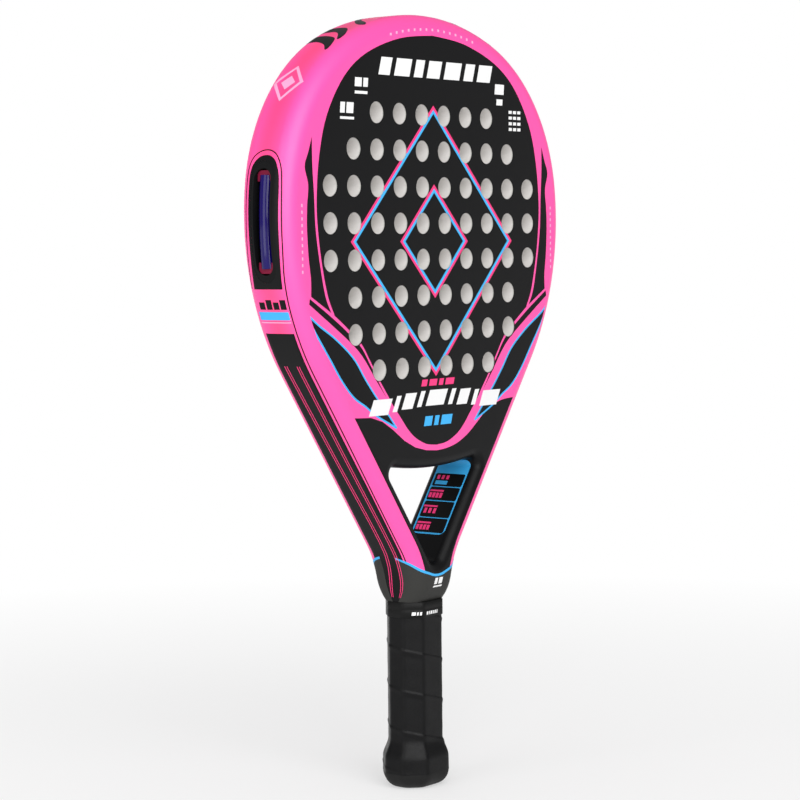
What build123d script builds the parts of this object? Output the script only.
from build123d import *
import math
import os

# Padel racket. Sizes are in millimetres. +Z runs up the racket from the butt end, +X is to the
# right, and the front hitting face looks along -Y. The origin is the middle of the butt's end.

# overall sizes
THICKNESS = 36.0  # from hitting face to hitting face
GRID_HEIGHT = 319.8  # middle of the hole pattern above the butt
CROWN_HEIGHT = 450.0  # top of the head above the butt

# outline of head, arms and yoke: tangent arcs and a straight, from the crown down one side
CROWN_RADIUS = 167.5
CROWN_SWEEP = 22.6  # degrees
SHOULDER_RADIUS = 106.0
SHOULDER_SWEEP = 60.0
FLANK_RADIUS = 150.0
FLANK_SWEEP = 43.0
ARM_LENGTH = 127.8  # straight side of each arm
YOKE_RADIUS = 55.0  # hollow curve from the arm into the handle

# tube of the frame
RIM_WIDTH = 14.4  # width of the tube, seen from the front
EDGE_RADIUS = 10.0  # outer edges
WINDOW_EDGE_RADIUS = 6.0  # edges around the throat window
TUBE_WALL = 2.2
CAVITY_EDGE_RADIUS = 7.8
CAVITY_BOTTOM = 158.0  # the hollow of each arm ends here
YOKE_SHOULDER_HEIGHT = 124.0  # below this the body thins towards the handle
YOKE_SHOULDER_RADIUS = 20.0

# bridge and throat window
BRIDGE_BOTTOM_RADIUS = 248.0  # underside of the bridge, bulging downwards
BRIDGE_BOTTOM = 188.5  # its lowest point
BRIDGE_DEPTH = 19.0  # from its underside up to the core
WINDOW_APEX_RADIUS = 6.0
WINDOW_CORNER_RADIUS = 4.0
BRIDGE_TOE = 3.0  # how far the bridge's ends run down past its underside, along the arms

# hitting faces and their holes
SKIN = 1.2
SKIN_INSET = 10.0  # from the outline
SKIN_ABOVE_WINDOW = 6.5
HOLE_DIAMETER = 12.2
HOLE_PITCH = 20.65
HOLES_PER_ROW = (6, 8, 10, 10, 10, 8, 8, 6)  # from the top row down

# bar set into each side of the head
TRAY_HEIGHT = 331.0  # middle of the bar above the butt
TRAY_LENGTH = 66.0
TRAY_WIDTH = 15.0
TRAY_BACK = 118.0  # from the racket's middle plane
POCKET_LENGTH = 58.0
POCKET_WIDTH = 12.0
POCKET_FLOOR = 119.4
BAR_DIAMETER = 8.4
BAR_LENGTH = 50.0
BAR_AXIS = 125.3
BAR_BOW_RADIUS = 200.0
SOCKET_LENGTH = 6.0
SOCKET_WIDTH = 10.6
SOCKET_TOP = 126.2
SOCKET_GAP = 1.0  # between a socket and the pocket's end

# handle
GRIP_WIDTH = 34.7
GRIP_DEPTH = 27.5
GRIP_BEVEL = 8.4
WRAP = 1.8  # thickness of the wrap
WRAP_BOTTOM = 9.0
WRAP_TOP = 107.0
COLLAR_BOTTOM = 101.0
COLLAR_PROUD = 0.6
FLARE = 3.3  # how far the butt stands out from the grip
FLARE_FULL_HEIGHT = 17.0
FLARE_END_HEIGHT = 29.0
FLARE_STEPS = 6
DOME_RADIUS = 9.0
DOME_STEPS = 5
SLEEVE_TOP = 30.0  # top of the butt cap's sleeve, under the wrap
PALLET_BOTTOM = 16.0
TANG_WIDTH = 18.0
TANG_DEPTH = 14.0
TANG_WALL = 2.5
TANG_ROOT = 1.0  # how far the tang reaches up into the yoke
TANG_HOLLOW_TOP = 104.0
CORD_HOLE_DIAMETER = 8.0
CORD_HOLE_LENGTH = 6.0
KNOT_CHAMBER_DIAMETER = 16.0
STAPLE_HEIGHT = 24.0
STAPLE_CROWN = 10.0
STAPLE_WIRE = 1.0
STAPLE_OUTER_FACE = 11.6  # from the handle's middle plane
STAPLE_LEG_TIP = 8.0

HALF = THICKNESS / 2
FAR = 300.0  # larger than the racket's half width and depth
TOUCH = 0.05  # two things this close are taken to touch
STANDING = (Align.CENTER, Align.CENTER, Align.MIN)


def outline_arcs():
    """The three bulging arcs of the right-hand side: centre x, centre z, radius, start and end
    angle, clockwise from straight up."""
    x, z = 0.0, CROWN_HEIGHT - CROWN_RADIUS
    angle = 0.0
    arcs = []
    radii = (CROWN_RADIUS, SHOULDER_RADIUS, FLANK_RADIUS)
    sweeps = (CROWN_SWEEP, SHOULDER_SWEEP, FLANK_SWEEP)
    for i, (radius, sweep) in enumerate(zip(radii, sweeps)):
        if i:
            step = radii[i - 1] - radius
            x += step * math.sin(angle)
            z += step * math.cos(angle)
        end = angle + math.radians(sweep)
        arcs.append((x, z, radius, angle, end))
        angle = end
    return arcs


def on_arc(x, z, radius, angle):
    """Point of an arc at an angle clockwise from straight up."""
    return (x + radius * math.sin(angle), z + radius * math.cos(angle))


def side_edges(inset):
    """Edges of the right-hand side's three arcs, moved inwards, and their last point."""
    edges = []
    for x, z, radius, start, end in outline_arcs():
        inner = radius - inset
        middle = (start + end) / 2
        points = [on_arc(x, z, inner, a) for a in (start, middle, end)]
        edges.append(ThreePointArc(*points))
    return edges, points[-1]


def arm_direction():
    """Unit vector down the right arm's outer side, and the side's outward unit normal."""
    angle = outline_arcs()[-1][4]
    return (math.cos(angle), -math.sin(angle)), (math.sin(angle), math.cos(angle))


def yoke_edges(inset, start):
    """Straight arm and hollow yoke curve of the right-hand side, and the yoke's last point."""
    (dx, dz), (nx, nz) = arm_direction()
    foot = (start[0] + ARM_LENGTH * dx, start[1] + ARM_LENGTH * dz)
    radius = YOKE_RADIUS + inset
    centre = (foot[0] + radius * nx, foot[1] + radius * nz)
    first = math.atan2(nx, nz)
    last = math.pi / 2
    points = []
    for angle in ((first + last) / 2, last):
        points.append((centre[0] - radius * math.sin(angle), centre[1] - radius * math.cos(angle)))
    return [Line(start, foot), ThreePointArc(foot, *points)], points[-1]


def mirrored_face(edges, bottom):
    """Face bounded by the right-hand edges, their mirror image and a line across at the bottom."""
    right = edges
    left = [mirror(edge, about=Plane.YZ) for edge in edges]
    across = [Line((-bottom[0], bottom[1]), bottom)] if bottom[0] > TOUCH else []
    return make_face(right + left + across)


def body_face(inset=0.0):
    """Plan of the whole body, from the crown to the end of the yoke."""
    edges, shoulder = side_edges(inset)
    more, bottom = yoke_edges(inset, shoulder)
    return mirrored_face(edges + more, bottom)


def yoke_end():
    """Half width and height of the body's lower end."""
    edges, shoulder = side_edges(0.0)
    return yoke_edges(0.0, shoulder)[1]


def inner_face():
    """Plan of everything inside the tube: head, bridge and throat, down to a sharp point."""
    edges, shoulder = side_edges(RIM_WIDTH)
    (dx, dz), _ = arm_direction()
    apex = (0.0, shoulder[1] - shoulder[0] * dz / dx)
    return mirrored_face(edges + [Line(shoulder, apex)], apex)


def bridge_disc(lift):
    """Disc whose lower edge runs along the bridge's underside, lifted by a distance."""
    radius = BRIDGE_BOTTOM_RADIUS - lift
    centre = BRIDGE_BOTTOM + BRIDGE_BOTTOM_RADIUS
    return Pos(0, centre) * Circle(radius)


def window_face():
    """Plan of the throat window, with its corners rounded."""
    sharp = inner_face() - bridge_disc(0.0)
    corners = sharp.vertices().sort_by(Axis.Y)
    rounded = fillet(corners[0], WINDOW_APEX_RADIUS)
    return fillet(rounded.vertices().sort_by(Axis.Y)[-2:], WINDOW_CORNER_RADIUS)


def slab(face, depth=HALF):
    """Prism of a plan face, reaching a depth to both sides of the middle plane."""
    return extrude(Plane.XZ * face, amount=depth, both=True)


def yoke_side_profile():
    """Side view of the body: full thickness, drawn in by an arc towards the handle."""
    end = yoke_end()[1]
    fall = YOKE_SHOULDER_HEIGHT - end
    angle = math.asin(fall / YOKE_SHOULDER_RADIUS)
    centre = HALF - YOKE_SHOULDER_RADIUS
    points = []
    for a in (angle / 2, angle):
        out = centre + YOKE_SHOULDER_RADIUS * math.cos(a)
        points.append((out, YOKE_SHOULDER_HEIGHT - YOKE_SHOULDER_RADIUS * math.sin(a)))
    top = 2 * CROWN_HEIGHT
    edges = [
        Line((0, top), (HALF, top)),
        Line((HALF, top), (HALF, YOKE_SHOULDER_HEIGHT)),
        ThreePointArc((HALF, YOKE_SHOULDER_HEIGHT), *points),
        Line(points[-1], (0, end)),
        Line((0, end), (0, top)),
    ]
    half = make_face(edges)
    return half + mirror(half, about=Plane.YZ)


def body_blank():
    """Solid body with rounded outer edges and the throat window cut through."""
    blank = slab(body_face())
    blank = blank & extrude(Plane.YZ * yoke_side_profile(), amount=FAR, both=True)
    end = yoke_end()[1]
    rim = [e for e in blank.edges() if is_rim(e, end)]
    blank = fillet(rim, EDGE_RADIUS) - slab(window_face(), FAR)
    outline = window_face().faces()[0].outer_wire()
    loops = [e for e in blank.edges() if is_on_loop(e, outline)]
    return fillet(loops, WINDOW_EDGE_RADIUS)


def is_rim(edge, end):
    """True for an edge between a hitting face and the side, all round but for the lower end."""
    first, last = edge @ 0, edge @ 1
    in_end_face = max(first.Z, last.Z) < end + TOUCH
    level_across = abs(first.Z - last.Z) < TOUCH and first.X * last.X < 0
    return abs(edge.center().Y) > TOUCH and not in_end_face and not level_across


def is_on_loop(edge, loop):
    """True for an edge in a hitting face's plane that runs along a loop of the plan."""
    middle = edge @ 0.5
    in_face = abs(abs(middle.Y) - HALF) < TOUCH
    return in_face and loop.distance_to(Vertex(middle.X, middle.Z, 0)) < TOUCH


def hole_places():
    """Centres of the drilled holes, row by row from the top."""
    places = []
    rows = len(HOLES_PER_ROW)
    for row, count in enumerate(HOLES_PER_ROW):
        z = GRID_HEIGHT + ((rows - 1) / 2 - row) * HOLE_PITCH
        for column in range(count):
            places.append(((column - (count - 1) / 2) * HOLE_PITCH, z))
    return places


def hole_discs():
    """Plan of all the drilled holes."""
    return Sketch() + [Pos(x, z) * Circle(HOLE_DIAMETER / 2) for x, z in hole_places()]


def skin_face():
    """Plan of a hitting face's laminate, without its holes."""
    return body_face(SKIN_INSET) & bridge_disc(SKIN_ABOVE_WINDOW)


def laminate(side):
    """Drilled laminate of the front (side -1) or back (side 1)."""
    plan = skin_face() - hole_discs()
    plate = extrude(Plane.XZ * plan, amount=SKIN)
    low = HALF if side > 0 else -(HALF - SKIN)
    return Pos(0, low, 0) * plate


def core():
    """Foam core of the head, drilled right through."""
    plan = (inner_face() & bridge_disc(BRIDGE_DEPTH)) - hole_discs()
    return slab(plan, HALF - SKIN)


def skin_recesses():
    """The space that both laminates take in the body, holes filled."""
    return slab(skin_face(), FAR) - slab(skin_face(), HALF - SKIN)


def throat_bridge(blank):
    """Bridge that closes the head above the throat window."""
    plan = (inner_face() & bridge_disc(-BRIDGE_TOE)) - bridge_disc(BRIDGE_DEPTH)
    return (blank & slab(plan)) - skin_recesses()


def tube_cavity():
    """Hollow inside the tube, round the head and down both arms."""
    plan = body_face(TUBE_WALL) - body_face(RIM_WIDTH - TUBE_WALL)
    plan = plan - Pos(0, CAVITY_BOTTOM - FAR) * Rectangle(2 * FAR, 2 * FAR)
    depth = HALF - SKIN - TUBE_WALL
    hollow = slab(plan, depth)
    outer_side = body_face(TUBE_WALL).faces()[0].outer_wire()
    rounded = []
    for e in hollow.edges():
        middle = e @ 0.5
        at_face = abs(abs(middle.Y) - depth) < TOUCH
        if at_face and outer_side.distance_to(Vertex(middle.X, middle.Z, 0)) < TOUCH:
            rounded.append(e)
    return fillet(rounded, CAVITY_EDGE_RADIUS)


def tang():
    """Tail of the frame inside the handle, before its foam is taken out."""
    length = yoke_end()[1] - PALLET_BOTTOM + TANG_ROOT
    return Pos(0, 0, PALLET_BOTTOM) * Box(TANG_WIDTH, TANG_DEPTH, length, align=STANDING)


def handle_foam():
    """Foam inside the tang."""
    width = TANG_WIDTH - 2 * TANG_WALL
    depth = TANG_DEPTH - 2 * TANG_WALL
    height = TANG_HOLLOW_TOP - PALLET_BOTTOM
    return Pos(0, 0, PALLET_BOTTOM) * Box(width, depth, height, align=STANDING)


def frame_tube(blank):
    """Hollow tube of head and arms, the solid yoke and the tang, as one moulding."""
    head = inner_face() & bridge_disc(-BRIDGE_TOE)
    tube = blank - slab(head, FAR)
    tube = tube - skin_recesses()
    tube = tube - tube_cavity()
    tube = tube + tang()
    for side in (1, -1):
        tube = tube - tray_prism(side)
    return tube - handle_foam()


def side_slot(length, width, start, depth):
    """Round-ended prism across the right side of the head, from a distance outwards."""
    shape = Pos(0, TRAY_HEIGHT) * SlotOverall(length, width, rotation=90)
    return extrude(Plane.YZ.offset(start) * shape, amount=depth)


def mirrored(solid, side):
    """The right-hand solid for side 1, its mirror image for side -1."""
    return solid if side > 0 else mirror(solid, about=Plane.YZ)


def tray_prism(side):
    """The space that a tray takes in the tube."""
    return mirrored(side_slot(TRAY_LENGTH, TRAY_WIDTH, TRAY_BACK, FAR), side)


def side_tray(blank, side):
    """Moulded tray, flush with the side of the head, with a pocket for the bar."""
    pocket = side_slot(POCKET_LENGTH, POCKET_WIDTH, POCKET_FLOOR, FAR)
    tray = blank & side_slot(TRAY_LENGTH, TRAY_WIDTH, TRAY_BACK, FAR)
    return mirrored(tray - pocket, side)


def side_bar(side):
    """Round bar, bowed like the rim, with its ends in two sockets."""
    centre = BAR_AXIS - BAR_BOW_RADIUS
    half_angle = math.degrees(BAR_LENGTH / 2 / BAR_BOW_RADIUS)
    section = Plane.XY * Pos(BAR_BOW_RADIUS, 0) * Circle(BAR_DIAMETER / 2)
    swing = revolve(Rot(0, half_angle, 0) * section, Axis.Y, -2 * half_angle)
    return mirrored(Pos(centre, 0, TRAY_HEIGHT) * swing, side)


def bar_socket(side, end):
    """Block at the upper (end 1) or lower (end -1) end of the pocket that holds the bar."""
    depth = SOCKET_TOP - POCKET_FLOOR
    block = Box(depth, SOCKET_WIDTH, SOCKET_LENGTH)
    offset = POCKET_LENGTH / 2 - SOCKET_GAP - SOCKET_LENGTH / 2
    block = Pos(POCKET_FLOOR + depth / 2, 0, TRAY_HEIGHT + end * offset) * block
    block = block & side_slot(POCKET_LENGTH, POCKET_WIDTH, POCKET_FLOOR, FAR)
    return mirrored(block - side_bar(1), side)


def octagon(grow=0.0):
    """Section of the handle, grown evenly to all sides."""
    a = GRIP_WIDTH / 2 + grow
    b = GRIP_DEPTH / 2 + grow
    reach = (GRIP_WIDTH + GRIP_DEPTH) / 2 - GRIP_BEVEL + grow * math.sqrt(2)
    corners = [(a, reach - a), (reach - b, b)]
    upper = corners + [(-x, y) for x, y in reversed(corners)]
    lower = [(x, -y) for x, y in reversed(upper)]
    return make_face(Polyline(*upper, *lower, close=True))


def flare(height):
    """How far the outside of the wrap stands out from the grip at a height."""
    share = (height - FLARE_FULL_HEIGHT) / (FLARE_END_HEIGHT - FLARE_FULL_HEIGHT)
    share = min(max(share, 0.0), 1.0)
    return FLARE * (1 + math.cos(math.pi * share)) / 2


def flare_heights(bottom, top):
    """Heights of the sections that follow the flare between two levels."""
    rise = (FLARE_END_HEIGHT - FLARE_FULL_HEIGHT) / FLARE_STEPS
    steps = [FLARE_FULL_HEIGHT + i * rise for i in range(FLARE_STEPS + 1)]
    return [bottom] + [z for z in steps if bottom < z < top] + [top]


def handle_solid(bottom, top, grow):
    """Solid under the wrap's outside between two levels, grown or shrunk evenly."""
    sections = [Pos(0, 0, z) * octagon(flare(z) + grow) for z in flare_heights(bottom, top)]
    return loft(sections, ruled=True)


def pallet_solid():
    """Both halves of the handle's pallet together, around the tang."""
    end = yoke_end()[1]
    upper = extrude(Pos(0, 0, SLEEVE_TOP) * octagon(-WRAP), amount=end - SLEEVE_TOP)
    lower = extrude(Pos(0, 0, PALLET_BOTTOM) * octagon(-2 * WRAP), amount=SLEEVE_TOP - PALLET_BOTTOM)
    hollow = Box(TANG_WIDTH, TANG_DEPTH, 2 * FAR)
    return (upper + lower) - hollow - staples()


def handle_pallet(side):
    """Front (side -1) or back (side 1) half of the pallet."""
    half_space = Pos(0, side * FAR / 2, 0) * Box(FAR, FAR, 2 * FAR)
    return pallet_solid() & half_space


def grip_wrap():
    """Wrap of the grip, over the pallet and the butt cap's sleeve."""
    outside = handle_solid(WRAP_BOTTOM, WRAP_TOP, 0.0)
    inside = handle_solid(WRAP_BOTTOM, WRAP_TOP, -WRAP)
    return outside - inside


def collar_tape():
    """Tape that ties down the top of the wrap against the yoke."""
    end = yoke_end()[1]
    band = extrude(Pos(0, 0, COLLAR_BOTTOM) * octagon(COLLAR_PROUD), amount=end - COLLAR_BOTTOM)
    wrapped = extrude(Pos(0, 0, COLLAR_BOTTOM) * octagon(0.0), amount=WRAP_TOP - COLLAR_BOTTOM)
    inner = extrude(Pos(0, 0, COLLAR_BOTTOM) * octagon(-WRAP), amount=end - COLLAR_BOTTOM)
    return band - wrapped - inner


def dome_sections():
    """Sections of the butt's rounded end, from the end face up."""
    sections = []
    for i in range(DOME_STEPS + 1):
        angle = math.pi / 2 * i / DOME_STEPS
        grow = FLARE - DOME_RADIUS * (1 - math.sin(angle))
        sections.append(Pos(0, 0, DOME_RADIUS * (1 - math.cos(angle))) * octagon(grow))
    return sections


def butt_cap():
    """Cap with a rounded end, a sleeve under the wrap, a cord hole and a chamber for its knot."""
    dome = loft(dome_sections(), ruled=True)
    sleeve = handle_solid(WRAP_BOTTOM, SLEEVE_TOP, -WRAP)
    inside = extrude(Pos(0, 0, PALLET_BOTTOM) * octagon(-2 * WRAP), amount=FAR)
    chamber_depth = PALLET_BOTTOM - CORD_HOLE_LENGTH
    chamber = Cylinder(KNOT_CHAMBER_DIAMETER / 2, chamber_depth, align=STANDING)
    chamber = Pos(0, 0, CORD_HOLE_LENGTH) * chamber
    hole = Cylinder(CORD_HOLE_DIAMETER / 2, FAR)
    slots = Pos(0, 0, STAPLE_HEIGHT) * Box(STAPLE_CROWN, FAR, STAPLE_WIRE)
    slots = slots - Box(FAR, 2 * STAPLE_OUTER_FACE, FAR)
    return (dome + sleeve) - inside - chamber - hole - slots - staples()


def staples():
    """Two wire staples, front and back, that hold the cap's sleeve on the pallet."""
    both = []
    for side in (1, -1):
        low = STAPLE_LEG_TIP
        depth = STAPLE_OUTER_FACE - low
        crown = Pos(0, side * (STAPLE_OUTER_FACE - STAPLE_WIRE / 2), STAPLE_HEIGHT)
        staple = crown * Box(STAPLE_CROWN, STAPLE_WIRE, STAPLE_WIRE)
        for leg in (1, -1):
            place = Pos(leg * (STAPLE_CROWN - STAPLE_WIRE) / 2, side * (low + depth / 2), STAPLE_HEIGHT)
            staple = staple + place * Box(STAPLE_WIRE, depth, STAPLE_WIRE)
        both.append(staple)
    return Part() + both


def save(name, solid):
    """Write one sub-part."""
    export_step(solid, f"parts/{name}.step")


def main():
    os.makedirs("parts", exist_ok=True)
    blank = body_blank()
    save("frame_tube", frame_tube(blank))
    save("throat_bridge", throat_bridge(blank))
    save("core_foam", core())
    save("front_face", laminate(-1))
    save("back_face", laminate(1))
    for side, name in ((-1, "left"), (1, "right")):
        save(f"side_tray_{name}", side_tray(blank, side))
        save(f"side_bar_{name}", side_bar(side))
        save(f"bar_socket_upper_{name}", bar_socket(side, 1))
        save(f"bar_socket_lower_{name}", bar_socket(side, -1))
    save("handle_foam", handle_foam())
    save("handle_pallet_front", handle_pallet(-1))
    save("handle_pallet_back", handle_pallet(1))
    save("grip_wrap", grip_wrap())
    save("collar_tape", collar_tape())
    save("butt_cap", butt_cap())
    save("butt_cap_staples", staples())


main()
